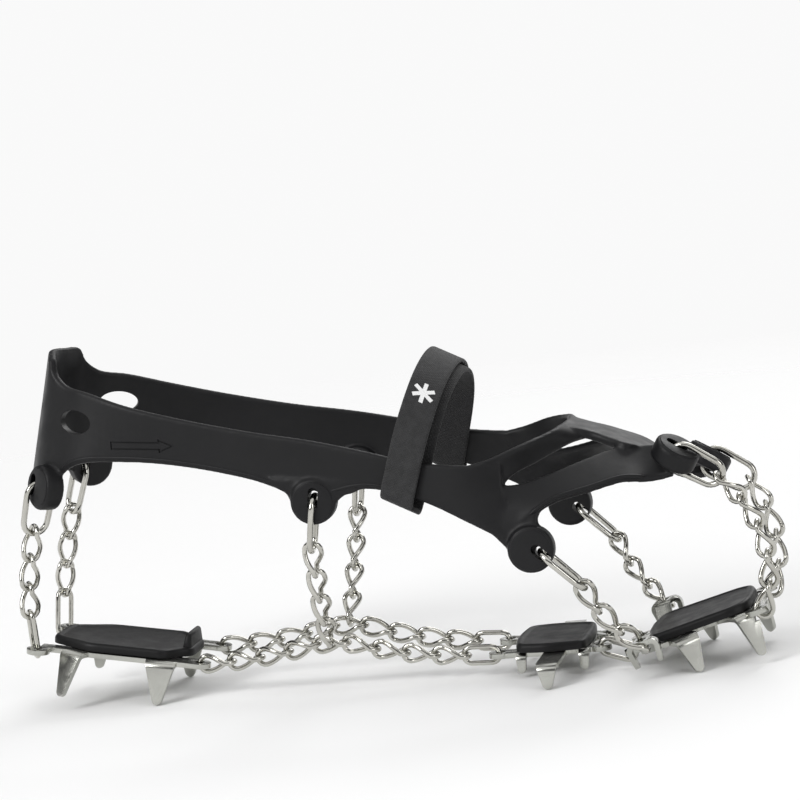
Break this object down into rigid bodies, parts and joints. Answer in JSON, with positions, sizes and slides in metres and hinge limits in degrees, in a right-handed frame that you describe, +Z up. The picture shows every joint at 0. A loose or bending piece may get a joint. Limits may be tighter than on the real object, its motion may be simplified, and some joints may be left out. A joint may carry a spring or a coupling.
{
  "type": "slip-on chain crampon",
  "caption": "Slip-on traction crampon: an elastic rubber harness with an instep strap, and spiked steel plates hung under the boot on short chains.",
  "frame": {"origin": "under the middle of the bounding box, on the plane of the lowest spike tips", "axes": "+X towards the toe, +Y to the wearer's left, +Z up"},
  "size_m": [0.3148, 0.113, 0.1489],
  "materials": {
    "harness_rubber": "matte moulded elastomer",
    "webbing": "woven hook-and-loop strap",
    "pad_rubber": "smooth matte rubber",
    "chain_steel": "tumbled bright wire",
    "plate_steel": "tumbled stamped sheet"
  },
  "bodies": {
    "crampon": {"harness": "harness_rubber", "heel_plate": "plate_steel", "ball_plate": "plate_steel", "toe_plate": "plate_steel", "heel_pad": "pad_rubber", "ball_pad": "pad_rubber", "toe_pad": "pad_rubber", "strap_band": "webbing", "junction_link_right": "chain_steel", "junction_link_left": "chain_steel"},
    "link_heel_right_2": {"link_heel_right_2": "chain_steel"},
    "ring_heel_right": {"ring_heel_right": "chain_steel"},
    "link_heel_right_1": {"link_heel_right_1": "chain_steel"},
    "link_heel_right_3": {"link_heel_right_3": "chain_steel"},
    "link_heel_right_4": {"link_heel_right_4": "chain_steel"},
    "link_middle_right_2": {"link_middle_right_2": "chain_steel"},
    "ring_middle_right": {"ring_middle_right": "chain_steel"},
    "link_middle_right_1": {"link_middle_right_1": "chain_steel"},
    "link_middle_right_3": {"link_middle_right_3": "chain_steel"},
    "link_middle_right_4": {"link_middle_right_4": "chain_steel"},
    "link_ball_right_2": {"link_ball_right_2": "chain_steel"},
    "ring_ball_right": {"ring_ball_right": "chain_steel"},
    "link_ball_right_1": {"link_ball_right_1": "chain_steel"},
    "link_ball_right_3": {"link_ball_right_3": "chain_steel"},
    "link_toe_right_3": {"link_toe_right_3": "chain_steel"},
    "ring_toe_right": {"ring_toe_right": "chain_steel"},
    "link_toe_right_1": {"link_toe_right_1": "chain_steel"},
    "link_toe_right_2": {"link_toe_right_2": "chain_steel"},
    "link_toe_right_4": {"link_toe_right_4": "chain_steel"},
    "link_toe_right_5": {"link_toe_right_5": "chain_steel"},
    "link_heel_left_2": {"link_heel_left_2": "chain_steel"},
    "ring_heel_left": {"ring_heel_left": "chain_steel"},
    "link_heel_left_1": {"link_heel_left_1": "chain_steel"},
    "link_heel_left_3": {"link_heel_left_3": "chain_steel"},
    "link_heel_left_4": {"link_heel_left_4": "chain_steel"},
    "link_middle_left_2": {"link_middle_left_2": "chain_steel"},
    "ring_middle_left": {"ring_middle_left": "chain_steel"},
    "link_middle_left_1": {"link_middle_left_1": "chain_steel"},
    "link_middle_left_3": {"link_middle_left_3": "chain_steel"},
    "link_middle_left_4": {"link_middle_left_4": "chain_steel"},
    "link_ball_left_2": {"link_ball_left_2": "chain_steel"},
    "ring_ball_left": {"ring_ball_left": "chain_steel"},
    "link_ball_left_1": {"link_ball_left_1": "chain_steel"},
    "link_ball_left_3": {"link_ball_left_3": "chain_steel"},
    "link_toe_left_2": {"link_toe_left_2": "chain_steel"},
    "ring_toe_left": {"ring_toe_left": "chain_steel"},
    "link_toe_left_1": {"link_toe_left_1": "chain_steel"},
    "link_toe_left_3": {"link_toe_left_3": "chain_steel"},
    "link_toe_left_4": {"link_toe_left_4": "chain_steel"},
    "ground_chain_rear_right": {"ground_chain_rear_right": "chain_steel"},
    "ground_chain_front_right": {"ground_chain_front_right": "chain_steel"},
    "plate_link_right": {"plate_link_right": "chain_steel"},
    "ground_chain_rear_left": {"ground_chain_rear_left": "chain_steel"},
    "ground_chain_front_left": {"ground_chain_front_left": "chain_steel"},
    "plate_link_left": {"plate_link_left": "chain_steel"},
    "strap_flap": {"strap_flap": "webbing"}
  },
  "joints": [
    {"name": "link_heel_right_2_swivel", "type": "hinge", "parent": "crampon", "child": "link_heel_right_2", "pos_m": [-0.15039, -0.02454, 0.05965], "axis": [-0.2062, 0.0788, -0.9753], "range_deg": [-16, 16]},
    {"name": "ring_heel_right_swivel", "type": "hinge", "parent": "crampon", "child": "ring_heel_right", "pos_m": [-0.14274, -0.02583, 0.08677], "axis": [-0.3155, 0.0682, -0.9465], "range_deg": [-4.8, 4.8]},
    {"name": "link_heel_right_1_swivel", "type": "hinge", "parent": "crampon", "child": "link_heel_right_1", "pos_m": [-0.14743, -0.0251, 0.07172], "axis": [-0.2691, 0.0123, -0.963], "range_deg": [-9.6, 9.6]},
    {"name": "link_heel_right_3_swivel", "type": "hinge", "parent": "crampon", "child": "link_heel_right_3", "pos_m": [-0.15256, -0.02315, 0.04749], "axis": [-0.1415, 0.1446, -0.9793], "range_deg": [-11.2, 11.2]},
    {"name": "link_heel_right_4_swivel", "type": "hinge", "parent": "crampon", "child": "link_heel_right_4", "pos_m": [-0.15398, -0.02029, 0.03282], "axis": [-0.0618, 0.2225, -0.973], "range_deg": [-4.8, 4.8]},
    {"name": "link_middle_right_2_swivel", "type": "hinge", "parent": "crampon", "child": "link_middle_right_2", "pos_m": [-0.02596, -0.03402, 0.04722], "axis": [-0.0712, 0.4229, -0.9034], "range_deg": [-16, 16]},
    {"name": "ring_middle_right_swivel", "type": "hinge", "parent": "crampon", "child": "ring_middle_right", "pos_m": [-0.02301, -0.04075, 0.07392], "axis": [-0.1622, -0.0225, -0.9865], "range_deg": [-4.8, 4.8]},
    {"name": "link_middle_right_1_swivel", "type": "hinge", "parent": "crampon", "child": "link_middle_right_1", "pos_m": [-0.02504, -0.03881, 0.05866], "axis": [-0.0761, 0.3472, -0.9347], "range_deg": [-9.6, 9.6]},
    {"name": "link_middle_right_3_swivel", "type": "hinge", "parent": "crampon", "child": "link_middle_right_3", "pos_m": [-0.02681, -0.0283, 0.03621], "axis": [-0.0657, 0.4958, -0.8659], "range_deg": [-11.2, 11.2]},
    {"name": "link_middle_right_4_swivel", "type": "hinge", "parent": "crampon", "child": "link_middle_right_4", "pos_m": [-0.02759, -0.02169, 0.0257], "axis": [-0.0599, 0.5653, -0.8227], "range_deg": [-4.8, 4.8]},
    {"name": "link_ball_right_2_swivel", "type": "hinge", "parent": "crampon", "child": "link_ball_right_2", "pos_m": [0.09212, -0.04487, 0.02695], "axis": [0.5763, 0.246, -0.7793], "range_deg": [-16, 16]},
    {"name": "ring_ball_right_swivel", "type": "hinge", "parent": "crampon", "child": "ring_ball_right", "pos_m": [0.07656, -0.0495, 0.04947], "axis": [0.707, 0.0179, -0.707], "range_deg": [-4.8, 4.8]},
    {"name": "link_ball_right_1_swivel", "type": "hinge", "parent": "crampon", "child": "link_ball_right_1", "pos_m": [0.08593, -0.04787, 0.03724], "axis": [0.4184, 0.2351, -0.8773], "range_deg": [-11.2, 11.2]},
    {"name": "link_ball_right_3_swivel", "type": "hinge", "parent": "crampon", "child": "link_ball_right_3", "pos_m": [0.10014, -0.0418, 0.01804], "axis": [0.7143, 0.2484, -0.6543], "range_deg": [-3.2, 3.2]},
    {"name": "link_toe_right_3_swivel", "type": "hinge", "parent": "crampon", "child": "link_toe_right_3", "pos_m": [0.15231, -0.02097, 0.0502], "axis": [0.2112, 0.0357, -0.9768], "range_deg": [-16, 16]},
    {"name": "ring_toe_right_swivel", "type": "hinge", "parent": "crampon", "child": "ring_toe_right", "pos_m": [0.1291, -0.022, 0.08178], "axis": [0.8435, 0, -0.5372], "range_deg": [-4.8, 4.8]},
    {"name": "link_toe_right_1_swivel", "type": "hinge", "parent": "crampon", "child": "link_toe_right_1", "pos_m": [0.14129, -0.02181, 0.07198], "axis": [0.6621, 0.0309, -0.7488], "range_deg": [-8.8, 8.8]},
    {"name": "link_toe_right_2_swivel", "type": "hinge", "parent": "crampon", "child": "link_toe_right_2", "pos_m": [0.1482, -0.0214, 0.0618], "axis": [0.4513, 0.0344, -0.8917], "range_deg": [-12.8, 12.8]},
    {"name": "link_toe_right_4_swivel", "type": "hinge", "parent": "crampon", "child": "link_toe_right_4", "pos_m": [0.15336, -0.02053, 0.03794], "axis": [-0.0425, 0.0347, -0.9985], "range_deg": [-11.2, 11.2]},
    {"name": "link_toe_right_5_swivel", "type": "hinge", "parent": "crampon", "child": "link_toe_right_5", "pos_m": [0.15127, -0.02012, 0.02581], "axis": [-0.2935, 0.0314, -0.9555], "range_deg": [-5.6, 5.6]},
    {"name": "link_heel_left_2_swivel", "type": "hinge", "parent": "crampon", "child": "link_heel_left_2", "pos_m": [-0.15039, 0.02454, 0.05965], "axis": [-0.2062, -0.0788, -0.9753], "range_deg": [-16, 16]},
    {"name": "ring_heel_left_swivel", "type": "hinge", "parent": "crampon", "child": "ring_heel_left", "pos_m": [-0.14274, 0.02583, 0.08677], "axis": [-0.3155, -0.0682, -0.9465], "range_deg": [-4.8, 4.8]},
    {"name": "link_heel_left_1_swivel", "type": "hinge", "parent": "crampon", "child": "link_heel_left_1", "pos_m": [-0.14743, 0.0251, 0.07172], "axis": [-0.2691, -0.0123, -0.963], "range_deg": [-9.6, 9.6]},
    {"name": "link_heel_left_3_swivel", "type": "hinge", "parent": "crampon", "child": "link_heel_left_3", "pos_m": [-0.15256, 0.02315, 0.04749], "axis": [-0.1415, -0.1446, -0.9793], "range_deg": [-11.2, 11.2]},
    {"name": "link_heel_left_4_swivel", "type": "hinge", "parent": "crampon", "child": "link_heel_left_4", "pos_m": [-0.15398, 0.02029, 0.03282], "axis": [-0.0618, -0.2225, -0.973], "range_deg": [-4.8, 4.8]},
    {"name": "link_middle_left_2_swivel", "type": "hinge", "parent": "crampon", "child": "link_middle_left_2", "pos_m": [-0.02596, 0.03402, 0.04722], "axis": [-0.0712, -0.4229, -0.9034], "range_deg": [-16, 16]},
    {"name": "ring_middle_left_swivel", "type": "hinge", "parent": "crampon", "child": "ring_middle_left", "pos_m": [-0.02301, 0.04075, 0.07392], "axis": [-0.1622, 0.0225, -0.9865], "range_deg": [-4.8, 4.8]},
    {"name": "link_middle_left_1_swivel", "type": "hinge", "parent": "crampon", "child": "link_middle_left_1", "pos_m": [-0.02504, 0.03881, 0.05866], "axis": [-0.0761, -0.3472, -0.9347], "range_deg": [-9.6, 9.6]},
    {"name": "link_middle_left_3_swivel", "type": "hinge", "parent": "crampon", "child": "link_middle_left_3", "pos_m": [-0.02681, 0.0283, 0.03621], "axis": [-0.0657, -0.4958, -0.8659], "range_deg": [-11.2, 11.2]},
    {"name": "link_middle_left_4_swivel", "type": "hinge", "parent": "crampon", "child": "link_middle_left_4", "pos_m": [-0.02759, 0.02169, 0.0257], "axis": [-0.0599, -0.5653, -0.8227], "range_deg": [-4.8, 4.8]},
    {"name": "link_ball_left_2_swivel", "type": "hinge", "parent": "crampon", "child": "link_ball_left_2", "pos_m": [0.09212, 0.04487, 0.02695], "axis": [0.5763, -0.246, -0.7793], "range_deg": [-16, 16]},
    {"name": "ring_ball_left_swivel", "type": "hinge", "parent": "crampon", "child": "ring_ball_left", "pos_m": [0.07656, 0.0495, 0.04947], "axis": [0.707, -0.0179, -0.707], "range_deg": [-4.8, 4.8]},
    {"name": "link_ball_left_1_swivel", "type": "hinge", "parent": "crampon", "child": "link_ball_left_1", "pos_m": [0.08593, 0.04787, 0.03724], "axis": [0.4184, -0.2351, -0.8773], "range_deg": [-11.2, 11.2]},
    {"name": "link_ball_left_3_swivel", "type": "hinge", "parent": "crampon", "child": "link_ball_left_3", "pos_m": [0.10014, 0.0418, 0.01804], "axis": [0.7143, -0.2484, -0.6543], "range_deg": [-3.2, 3.2]},
    {"name": "link_toe_left_2_swivel", "type": "hinge", "parent": "crampon", "child": "link_toe_left_2", "pos_m": [0.15196, 0.0212, 0.05016], "axis": [0.2365, -0.0443, -0.9706], "range_deg": [-16, 16]},
    {"name": "ring_toe_left_swivel", "type": "hinge", "parent": "crampon", "child": "ring_toe_left", "pos_m": [0.1364, 0.022, 0.07218], "axis": [0.8435, 0, -0.5372], "range_deg": [-4.8, 4.8]},
    {"name": "link_toe_left_1_swivel", "type": "hinge", "parent": "crampon", "child": "link_toe_left_1", "pos_m": [0.14748, 0.02174, 0.06161], "axis": [0.4846, -0.0422, -0.8737], "range_deg": [-10.4, 10.4]},
    {"name": "link_toe_left_3_swivel", "type": "hinge", "parent": "crampon", "child": "link_toe_left_3", "pos_m": [0.15325, 0.02066, 0.03794], "axis": [-0.0284, -0.0432, -0.9987], "range_deg": [-11.2, 11.2]},
    {"name": "link_toe_left_4_swivel", "type": "hinge", "parent": "crampon", "child": "link_toe_left_4", "pos_m": [0.15127, 0.02015, 0.02581], "axis": [-0.2913, -0.039, -0.9558], "range_deg": [-5.6, 5.6]},
    {"name": "ground_chain_rear_right_roll", "type": "hinge", "parent": "crampon", "child": "ground_chain_rear_right", "pos_m": [-0.05882, -0.01659, 0.01692], "axis": [0.9947, -0.0036, 0.1027], "range_deg": [-8, 8]},
    {"name": "ground_chain_front_right_roll", "type": "hinge", "parent": "crampon", "child": "ground_chain_front_right", "pos_m": [0.00883, -0.01444, 0.01397], "axis": [0.9867, 0.0604, -0.151], "range_deg": [-5, 5]},
    {"name": "plate_link_right_swivel", "type": "hinge", "parent": "crampon", "child": "plate_link_right", "pos_m": [0.08899, -0.011, 0.00763], "axis": [0.9469, 0, -0.3214], "range_deg": [-6, 6]},
    {"name": "ground_chain_rear_left_roll", "type": "hinge", "parent": "crampon", "child": "ground_chain_rear_left", "pos_m": [-0.05882, 0.01659, 0.01692], "axis": [0.9947, 0.0036, 0.1027], "range_deg": [-8, 8]},
    {"name": "ground_chain_front_left_roll", "type": "hinge", "parent": "crampon", "child": "ground_chain_front_left", "pos_m": [0.00883, 0.01444, 0.01397], "axis": [0.9867, -0.0604, -0.151], "range_deg": [-5, 5]},
    {"name": "plate_link_left_swivel", "type": "hinge", "parent": "crampon", "child": "plate_link_left", "pos_m": [0.08899, 0.011, 0.00763], "axis": [0.9469, 0, -0.3214], "range_deg": [-6, 6]},
    {"name": "strap_flap_peel", "type": "hinge", "parent": "crampon", "child": "strap_flap", "pos_m": [0.02017, -0.0467, 0.0993], "axis": [0.88, 0, -0.475], "range_deg": [0, 50]}
  ],
  "couplings": [
    {"joint": "ring_heel_right_swivel", "follows": "link_heel_right_2_swivel", "ratio": 0.3},
    {"joint": "link_heel_right_1_swivel", "follows": "link_heel_right_2_swivel", "ratio": 0.6},
    {"joint": "link_heel_right_3_swivel", "follows": "link_heel_right_2_swivel", "ratio": 0.7},
    {"joint": "link_heel_right_4_swivel", "follows": "link_heel_right_2_swivel", "ratio": 0.3},
    {"joint": "ring_middle_right_swivel", "follows": "link_middle_right_2_swivel", "ratio": 0.3},
    {"joint": "link_middle_right_1_swivel", "follows": "link_middle_right_2_swivel", "ratio": 0.6},
    {"joint": "link_middle_right_3_swivel", "follows": "link_middle_right_2_swivel", "ratio": 0.7},
    {"joint": "link_middle_right_4_swivel", "follows": "link_middle_right_2_swivel", "ratio": 0.3},
    {"joint": "ring_ball_right_swivel", "follows": "link_ball_right_2_swivel", "ratio": 0.3},
    {"joint": "link_ball_right_1_swivel", "follows": "link_ball_right_2_swivel", "ratio": 0.7},
    {"joint": "link_ball_right_3_swivel", "follows": "link_ball_right_2_swivel", "ratio": 0.2},
    {"joint": "ring_toe_right_swivel", "follows": "link_toe_right_3_swivel", "ratio": 0.3},
    {"joint": "link_toe_right_1_swivel", "follows": "link_toe_right_3_swivel", "ratio": 0.55},
    {"joint": "link_toe_right_2_swivel", "follows": "link_toe_right_3_swivel", "ratio": 0.8},
    {"joint": "link_toe_right_4_swivel", "follows": "link_toe_right_3_swivel", "ratio": 0.7},
    {"joint": "link_toe_right_5_swivel", "follows": "link_toe_right_3_swivel", "ratio": 0.35},
    {"joint": "ring_heel_left_swivel", "follows": "link_heel_left_2_swivel", "ratio": 0.3},
    {"joint": "link_heel_left_1_swivel", "follows": "link_heel_left_2_swivel", "ratio": 0.6},
    {"joint": "link_heel_left_3_swivel", "follows": "link_heel_left_2_swivel", "ratio": 0.7},
    {"joint": "link_heel_left_4_swivel", "follows": "link_heel_left_2_swivel", "ratio": 0.3},
    {"joint": "ring_middle_left_swivel", "follows": "link_middle_left_2_swivel", "ratio": 0.3},
    {"joint": "link_middle_left_1_swivel", "follows": "link_middle_left_2_swivel", "ratio": 0.6},
    {"joint": "link_middle_left_3_swivel", "follows": "link_middle_left_2_swivel", "ratio": 0.7},
    {"joint": "link_middle_left_4_swivel", "follows": "link_middle_left_2_swivel", "ratio": 0.3},
    {"joint": "ring_ball_left_swivel", "follows": "link_ball_left_2_swivel", "ratio": 0.3},
    {"joint": "link_ball_left_1_swivel", "follows": "link_ball_left_2_swivel", "ratio": 0.7},
    {"joint": "link_ball_left_3_swivel", "follows": "link_ball_left_2_swivel", "ratio": 0.2},
    {"joint": "ring_toe_left_swivel", "follows": "link_toe_left_2_swivel", "ratio": 0.3},
    {"joint": "link_toe_left_1_swivel", "follows": "link_toe_left_2_swivel", "ratio": 0.65},
    {"joint": "link_toe_left_3_swivel", "follows": "link_toe_left_2_swivel", "ratio": 0.7},
    {"joint": "link_toe_left_4_swivel", "follows": "link_toe_left_2_swivel", "ratio": 0.35},
    {"joint": "ground_chain_front_right_roll", "follows": "ground_chain_rear_right_roll", "ratio": 0.6},
    {"joint": "ground_chain_front_left_roll", "follows": "ground_chain_rear_left_roll", "ratio": 0.6}
  ]
}
